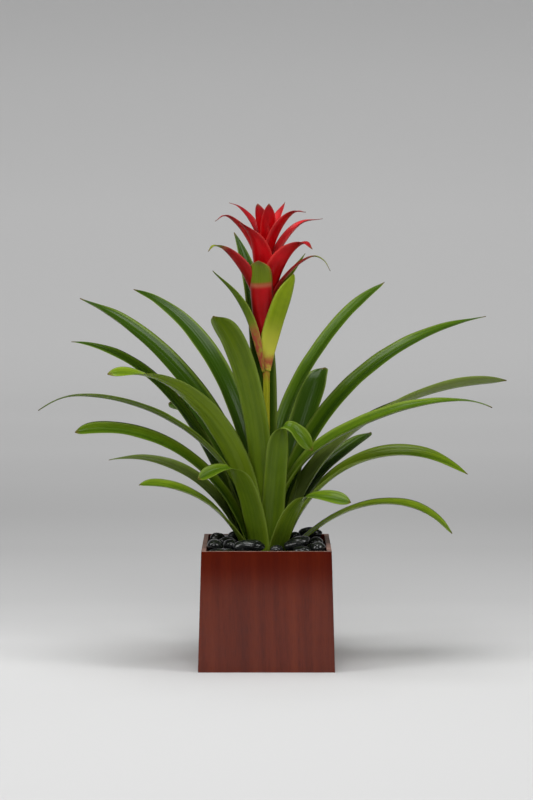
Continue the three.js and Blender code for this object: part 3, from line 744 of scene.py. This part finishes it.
# painted shade at a bract's foot, fading over this part of its length
BRACT_FOOT_SHADE_SPAN = (0.05, 0.5)
GREEN_BLEND = 0.02  # over which red turns to green, each way
NEVER_GREEN = 2  # past the tip
YELLOW_FOOT = (0.15, 0.6)
RED_FROM = (0.0, 0.04)
RED_FADES = (-0.1, 0.05)  # counted from red_until
GREEN_BRACT_BROWN_FROM = 0.98


def leaf(spec, material):
    widest = min(SHEATH_WIDTH, math.radians(CLASP_ANGLE) * spec["sheath"])
    clasp_width = spec.get("base", widest)

    def width_at(station):
        t, distance = station[:2]
        width = lerp(spec["width"], clasp_width, hump(distance, CLASP_LENGTH))
        return width * narrowed(t, spec.get("tip", LEAF_TAPER)) * waist(spec, t) + LEAF_TIP_WIDTH

    def cup_at(station):
        return lerp(1 / CHANNEL_RADIUS, 1 / station[2], hump(station[1], CLASP_LENGTH))

    def layers_at(t, distance, u):
        return {
            "light": spec["light"], "olive": spec.get("olive", 0.0),
            "tip": smoothstep(t, LEAF_BROWN_FROM, 1.0),
            "sheath": hump(distance, SHEATH_LENGTH) * smoothstep(abs(u), *SHEATH_MARGIN)}

    name = "leaf_" + spec["name"]
    piece = blade(name, leaf_midrib(spec), width_at, cup_at, LEAF_THICKNESS, material, layers_at,
                  LEAF_RIPPLE, LEAF_CREASE)
    settle(piece, "leaf", name)


def bract_blade(name, spec, material, layers_at, slot):
    def width_at(station):
        t = station[0]
        widening = math.sin(math.pi / 2 * min(t / BRACT_WIDE_AT, 1))
        width = spec["width"] * lerp(BRACT_FOOT_SHARE, 1, widening)
        return width * narrowed(t, spec.get("tip", BRACT_TAPER)) + BRACT_TIP_WIDTH

    def cup_at(station):
        return lerp(1 / BRACT_CHANNEL_RADIUS, 1 / station[2], hump(station[1], BRACT_CLASP_LENGTH))

    piece = blade(name, bract_midrib(spec), width_at, cup_at, BRACT_THICKNESS, material, layers_at,
                  BRACT_RIPPLE, BRACT_CREASE)
    settle(piece, slot, name)


def red_bract(spec, material):
    green_from = spec.get("green", NEVER_GREEN)

    def layers_at(t, distance, u):
        return {
            "pale": spec.get("pale", 0.0),
            # painted shade towards the foot
            "foot": 1 - smoothstep(t, *BRACT_FOOT_SHADE_SPAN),
            # the bract's own dulling, with painted shade added over its outer part
            "dull": min(1, spec.get("dull", 0.0) + BRACT_TIPWARD_SHADE_DEPTH * smoothstep(t, *BRACT_TIPWARD_SHADE_SPAN)),
            "tip": BRACT_BROWNS_BY * smoothstep(t, *BRACT_BROWNS),
            "green": smoothstep(t, green_from - GREEN_BLEND, green_from + GREEN_BLEND),
            "edge": hump(t - green_from + GREEN_BLEND, GREEN_BLEND)}

    bract_blade("bract_" + spec["name"], spec, material, layers_at, "red_bract")


def green_bract(spec, material):
    red_fades = [spec["red_until"] + place for place in RED_FADES]

    def layers_at(t, distance, u):
        return {
            "light": spec["light"],
            "yellow": spec["light"] * (1 - smoothstep(t, *YELLOW_FOOT)),
            "red": smoothstep(t, *RED_FROM) * (1 - smoothstep(t, *red_fades)),
            "tip": smoothstep(t, GREEN_BRACT_BROWN_FROM, 1.0)}

    bract_blade("scape_bract_" + spec["name"], spec, material, layers_at, "green_bract")


# ---------------------------------------------------------------- stem

STEM_SIDES = 24
STEM_ROWS = 120
STEM_SLIMMER = 0.25  # than in the model, between the knobs
KNOB_RISE = 0.35
KNOB_MOST = 0.4  # where two lie close together
KNOB_BELOW = 2  # the bract's foot
KNOB_REACH = 2.5


def stem(material):
    """The flower stem, a little knobbed where each bract sits on it."""
    points, faces = [], []
    feet = [spec["foot"] for spec in (*BRACTS, *GREEN_BRACTS)]
    for i in range(STEM_ROWS + 1):
        z = lerp(CROWN_BASE, SCAPE_TOP, i / STEM_ROWS)
        shoulder = smoothstep(z, CAUDEX_TOP, CAUDEX_TOP + CAUDEX_SHOULDER)
        radius = lerp(CAUDEX_RADIUS, stem_radius(z), shoulder)
        knob = sum(KNOB_RISE * hump(z - foot + KNOB_BELOW, KNOB_REACH) for foot in feet)
        radius += min(knob, KNOB_MOST) - STEM_SLIMMER
        for k in range(STEM_SIDES):
            angle = 2 * math.pi * k / STEM_SIDES
            points.append((radius * math.cos(angle), radius * math.sin(angle), z))
    for i in range(STEM_ROWS):
        for k in range(STEM_SIDES):
            a, b = i * STEM_SIDES + k, i * STEM_SIDES + (k + 1) % STEM_SIDES
            faces.append((a, b, b + STEM_SIDES, a + STEM_SIDES))
    faces.append(tuple(reversed(range(STEM_SIDES))))
    faces.append(tuple(range(STEM_ROWS * STEM_SIDES, (STEM_ROWS + 1) * STEM_SIDES)))
    settle(mesh_piece("stem", points, faces, material), "stem", "flower_stem")


# ---------------------------------------------------------------- pebbles
# centre, size (length, width, height), how far the length is turned from the x axis, how far its
# end is tilted up, and how strongly pale veins show

TOP_PEBBLES = [
    dict(name="front", centre=(-23, -54, 160.5), size=(42, 26, 17), turn=4, veined=0.9),
    dict(name="front_small", centre=(13, -60, 157), size=(17, 15, 12), turn=20, veined=0.5),
    dict(name="left", centre=(-68, -48, 160.5), size=(22, 19, 15), turn=60, veined=0.4),
    dict(name="left_inner", centre=(-48, -33, 159), size=(24, 18, 15), turn=100, veined=0.3),
    dict(name="back_left", centre=(-66, 50, 156.5), size=(22, 18, 15), turn=30, veined=0.0),
    dict(name="right_long", centre=(40, -35, 162), size=(38, 22, 16), turn=25, tilt=14,
         veined=0.35),
    dict(name="right", centre=(67, -48, 157.5), size=(24, 20, 15), turn=70, veined=0.3),
    dict(name="back_right", centre=(59, 52, 162.5), size=(32, 24, 18), turn=-15, veined=0.1),
]

# The stones of the bed that show between them
BED_STONES = [
    dict(centre=(-52, -2, 158.5), size=(23, 18, 14), turn=15, veined=0.2),
    dict(centre=(-44, 46, 160), size=(16, 14, 13), turn=0, veined=0.0),
    dict(centre=(38, 26, 162), size=(18, 14, 13), turn=50, veined=0.0),
    dict(centre=(66, 2, 157.5), size=(22, 19, 15), turn=80, veined=0.5),
    dict(centre=(46, -60, 154.5), size=(25, 18, 14), turn=-5, veined=0.1),
    dict(centre=(-70, 6, 155), size=(20, 16, 13), turn=70, veined=0.2),
    dict(centre=(-5, 64, 158), size=(26, 19, 14), turn=10, veined=0.2),
]

LOOSE_LAYERS = ((142, 146, 21), (151, 154, 19))  # lowest and highest centre of a layer, and pitch
LAYER_SHIFT = 0.25  # of the pitch, from one layer to the next
STRAY = 3  # how far a loose stone lies from its place in the rows
LOOSE_SIZES = ((22, 30), (17, 22), (11, 14))  # least and greatest length, width and height
LOOSE_VEINED = (0.0, 0.1, 0.25, 0.45)
APART = 6  # how clear the upper layer keeps of the stones that show
CROWN_RADIUS = 30  # no loose stone reaches nearer to the axis
BED_SEED = 5

BROAD_SWELLING = 0.10  # of a stone's size
BROAD_SCALE = 1.1
FINE_SWELLING = 0.03
FINE_SCALE = 2.7
TOP_STONE_GRID = (18, 28)  # rows and sides of its mesh
BED_STONE_GRID = (14, 22)


def unit_sphere(rows, sides):
    points = [Vector((0, 0, 1))]
    for i in range(1, rows):
        polar = math.pi * i / rows
        for k in range(sides):
            angle = 2 * math.pi * k / sides
            points.append(Vector((math.sin(polar) * math.cos(angle),
                                  math.sin(polar) * math.sin(angle), math.cos(polar))))
    points.append(Vector((0, 0, -1)))
    faces = [(0, 1 + k, 1 + (k + 1) % sides) for k in range(sides)]
    for i in range(rows - 2):
        for k in range(sides):
            a, b = 1 + i * sides + k, 1 + i * sides + (k + 1) % sides
            faces.append((a, a + sides, b + sides, b))
    foot = len(points) - 1
    first = foot - sides
    faces += [(foot, first + (k + 1) % sides, first + k) for k in range(sides)]
    return points, faces


def stone_points(sphere, spec, seed):
    """A water-worn stone: an ellipsoid with soft uneven swellings."""
    tilt = Quaternion((0, 1, 0), -math.radians(spec.get("tilt", 0)))
    around = Quaternion((0, 0, 1), math.radians(spec["turn"])) @ tilt
    half = Vector(spec["size"]) / 2
    points = []
    for p in sphere:
        broad = BROAD_SWELLING * noise.noise(p * BROAD_SCALE + Vector((seed, 0, 0)))
        fine = FINE_SWELLING * noise.noise(p * FINE_SCALE + Vector((0, seed, 0)))
        q = Vector(c * h * (1 + broad + fine) for c, h in zip(p, half))
        points.append(around @ q + Vector(spec["centre"]))
    return points


def top_pebble(spec, material):
    sphere, faces = unit_sphere(*TOP_STONE_GRID)
    points = stone_points(sphere, spec, len(spec["name"]))
    name = "pebble_" + spec["name"]
    layers = {"veined": [spec["veined"]] * len(points)}
    settle(mesh_piece(name, points, faces, material, layers=layers), "river_stone", name)


def bed_stones():
    """The stones of the bed: those that show, and a lower and an upper layer of loose ones."""
    chance = random.Random(BED_SEED)
    inside = POT_RIM / 2 - POT_WALL
    taken = [(spec["centre"], max(spec["size"]) * 0.5) for spec in (*TOP_PEBBLES, *BED_STONES)]
    stones = list(BED_STONES)
    for layer, (low, high, pitch) in enumerate(LOOSE_LAYERS):
        reach = int(inside // pitch)
        for column in range(-reach, reach + 1):
            for row in range(-reach, reach + 1):
                x = pitch * (column + LAYER_SHIFT * layer) + chance.uniform(-STRAY, STRAY)
                y = pitch * (row + LAYER_SHIFT * layer) + chance.uniform(-STRAY, STRAY)
                z = chance.uniform(low, high)
                size = tuple(chance.uniform(*sizes) for sizes in LOOSE_SIZES)
                turn = chance.uniform(0, 180)
                margin = 1 + size[0] / 2
                x = max(margin - inside, min(inside - margin, x))
                y = max(margin - inside, min(inside - margin, y))
                if math.hypot(x, y) < CROWN_RADIUS + size[1] / 2:
                    continue
                centre = (x, y, z)
                clear = all((Vector(centre) - Vector(c)).length > half + APART for c, half in taken)
                if layer == 0 or clear:
                    veined = chance.choice(LOOSE_VEINED)
                    stones.append(dict(centre=centre, size=size, turn=turn, veined=veined))
    return stones


def pebble_bed(material):
    sphere, faces = unit_sphere(*BED_STONE_GRID)
    points, all_faces, veined = [], [], []
    for seed, spec in enumerate(bed_stones()):
        first = len(points)
        points += stone_points(sphere, spec, seed)
        all_faces += [tuple(first + k for k in face) for face in faces]
        veined += [spec["veined"]] * len(sphere)
    piece = mesh_piece("pebble_bed_stones", points, all_faces, material, layers={"veined": veined})
    settle(piece, "river_stone", "pebble_bed")


# ---------------------------------------------------------------- pot and what it holds

WORN_EDGE = 0.5  # width of the bevel


def finish_node(name, material, bevel=0.0):
    """Keeps a node's own shape and gives it a material and worn edges."""
    node = frame["nodes"][name]
    for slot in node.material_slots:
        slot.material = material
    if bevel:
        edges = node.modifiers.new("worn_edges", "BEVEL")
        edges.width = bevel * MM
        edges.segments = 2
        edges.limit_method = "ANGLE"


# ---------------------------------------------------------------- stage, light and camera

# Grey of the sweep from its front edge (0) over the floor and the curve to the wall's top (1),
# partly painted light and shade: lighter on the floor just behind the pot and darker further back;
# and how brightly its far end is lit from behind
BACKDROP_GREYS = (
    (0.0, 0.57), (0.12, 0.56), (0.165, 0.60), (0.185, 0.51), (0.205, 0.47), (0.28, 0.48),
    (0.32, 0.46))
BACKDROP_GLOW = (
    (0.27, 0.0), (0.33, 0.07), (0.39, 0.17), (0.46, 0.26), (0.56, 0.32), (0.70, 0.335),
    (0.77, 0.31), (0.85, 0.22), (1.0, 0.15))
SWEEP_FRONT = 1260  # how far the floor reaches to the front
SWEEP_BACK = 4200  # and to the back, where its curve starts
SWEEP_CURVE = 1000
SWEEP_TOP = 2500
SWEEP_SIDE = 5500
FLOOR_STEPS = 12
SWEEP_CURVE_STEPS = 24

# Lights and camera are in metres, and their power in watts
SOFTBOXES = [
    dict(name="top", place=(-0.2, -0.1, 2.6), target=(0, 0, 0.3), size=(1.8, 1.5), power=55),
    dict(name="left", place=(-2.0, -0.9, 1.9), target=(0, 0, 0.35), size=(0.7, 1.6), power=25),
    dict(name="right", place=(2.0, -0.7, 1.8), target=(0, 0, 0.35), size=(0.6, 1.6), power=24),
    dict(name="front", place=(0, -3.4, 2.7), target=(0, 0, 0.3), size=(2.4, 1.2), power=55),
]
WORLD_STRENGTH = 0.03

CAMERA_PLACE = (0, -3.290, 0.623)
CAMERA_DOWN = 4.79  # degrees
CAMERA_LENS = 112.5
CAMERA_SENSOR = 36
CAMERA_SEES = 30  # how far


def stage_material():
    """Dull grey, partly painted light and shade, with a glow of its own far behind."""
    shader = Shader("backdrop", Emission_Strength=1.0, Specular_IOR_Level=0.0)
    run = shader.parts(shader.uv())["X"]
    # the greys are partly painted light and shade
    shader.colour(shader.ramp(run, *BACKDROP_GREYS))
    shader.feed(shader.surface.inputs["Emission Color"], shader.ramp(run, *BACKDROP_GLOW))
    shader.rough(1.0)
    return shader.material


def backdrop():
    """A floor that sweeps up into a wall in one curve."""
    depth = SWEEP_FRONT + SWEEP_BACK
    profile = [(-SWEEP_FRONT + depth * i / FLOOR_STEPS, 0) for i in range(FLOOR_STEPS)]
    for i in range(SWEEP_CURVE_STEPS + 1):
        a = math.pi / 2 * i / SWEEP_CURVE_STEPS
        profile.append((SWEEP_BACK + SWEEP_CURVE * math.sin(a), SWEEP_CURVE * (1 - math.cos(a))))
    profile.append((SWEEP_BACK + SWEEP_CURVE, SWEEP_TOP))
    reached = [0.0]
    for (y0, z0), (y1, z1) in zip(profile, profile[1:]):
        reached.append(reached[-1] + math.hypot(y1 - y0, z1 - z0))
    points, uvs, faces = [], [], []
    for (y, z), run in zip(profile, reached):
        points += [(-SWEEP_SIDE, y, z), (SWEEP_SIDE, y, z)]
        uvs += [(run / reached[-1], 0), (run / reached[-1], 1)]
    for i in range(len(profile) - 1):
        faces.append((2 * i, 2 * i + 1, 2 * i + 3, 2 * i + 2))
    mesh_piece("backdrop", points, faces, stage_material(), uvs)


def softbox(spec):
    lamp = bpy.data.lights.new(spec["name"], "AREA")
    lamp.shape = "RECTANGLE"
    lamp.size, lamp.size_y = spec["size"]
    lamp.energy = spec["power"]
    lamp_object = bpy.data.objects.new(spec["name"], lamp)
    aim = Vector(spec["target"]) - Vector(spec["place"])
    lamp_object.location = spec["place"]
    lamp_object.rotation_euler = aim.to_track_quat("-Z", "Y").to_euler()
    bpy.context.scene.collection.objects.link(lamp_object)


def world():
    studio = bpy.data.worlds.new("studio")
    studio.use_nodes = True
    background = studio.node_tree.nodes["Background"]
    background.inputs["Color"].default_value = (1, 1, 1, 1)
    background.inputs["Strength"].default_value = WORLD_STRENGTH
    bpy.context.scene.world = studio


def camera():
    data = bpy.data.cameras.new("camera")
    data.sensor_width = CAMERA_SENSOR
    data.lens = CAMERA_LENS
    data.clip_end = CAMERA_SEES
    camera_object = bpy.data.objects.new("camera", data)
    camera_object.location = CAMERA_PLACE
    camera_object.rotation_euler = (math.radians(90 - CAMERA_DOWN), 0, 0)
    bpy.context.scene.collection.objects.link(camera_object)
    bpy.context.scene.camera = camera_object


# ---------------------------------------------------------------- the whole scene

camera()
backdrop()
for spec in SOFTBOXES:
    softbox(spec)
world()
bpy.context.scene.view_settings.view_transform = "Standard"

leaf_green = leaf_material()
for spec in LEAVES:
    leaf(spec, leaf_green)
bract_red = bract_material()
for spec in BRACTS:
    red_bract(spec, bract_red)
bract_green = green_bract_material()
for spec in GREEN_BRACTS:
    green_bract(spec, bract_green)
stem(stem_material())

black_stone = stone_material()
for spec in TOP_PEBBLES:
    top_pebble(spec, black_stone)
pebble_bed(black_stone)

wood = wood_material()
for side in ("pot_front", "pot_right", "pot_back", "pot_left"):
    finish_node(side, wood, bevel=WORN_EDGE)
finish_node("pot_base", wood)
finish_node("plastic_liner", plastic_material())
finish_node("soil", soil_material())
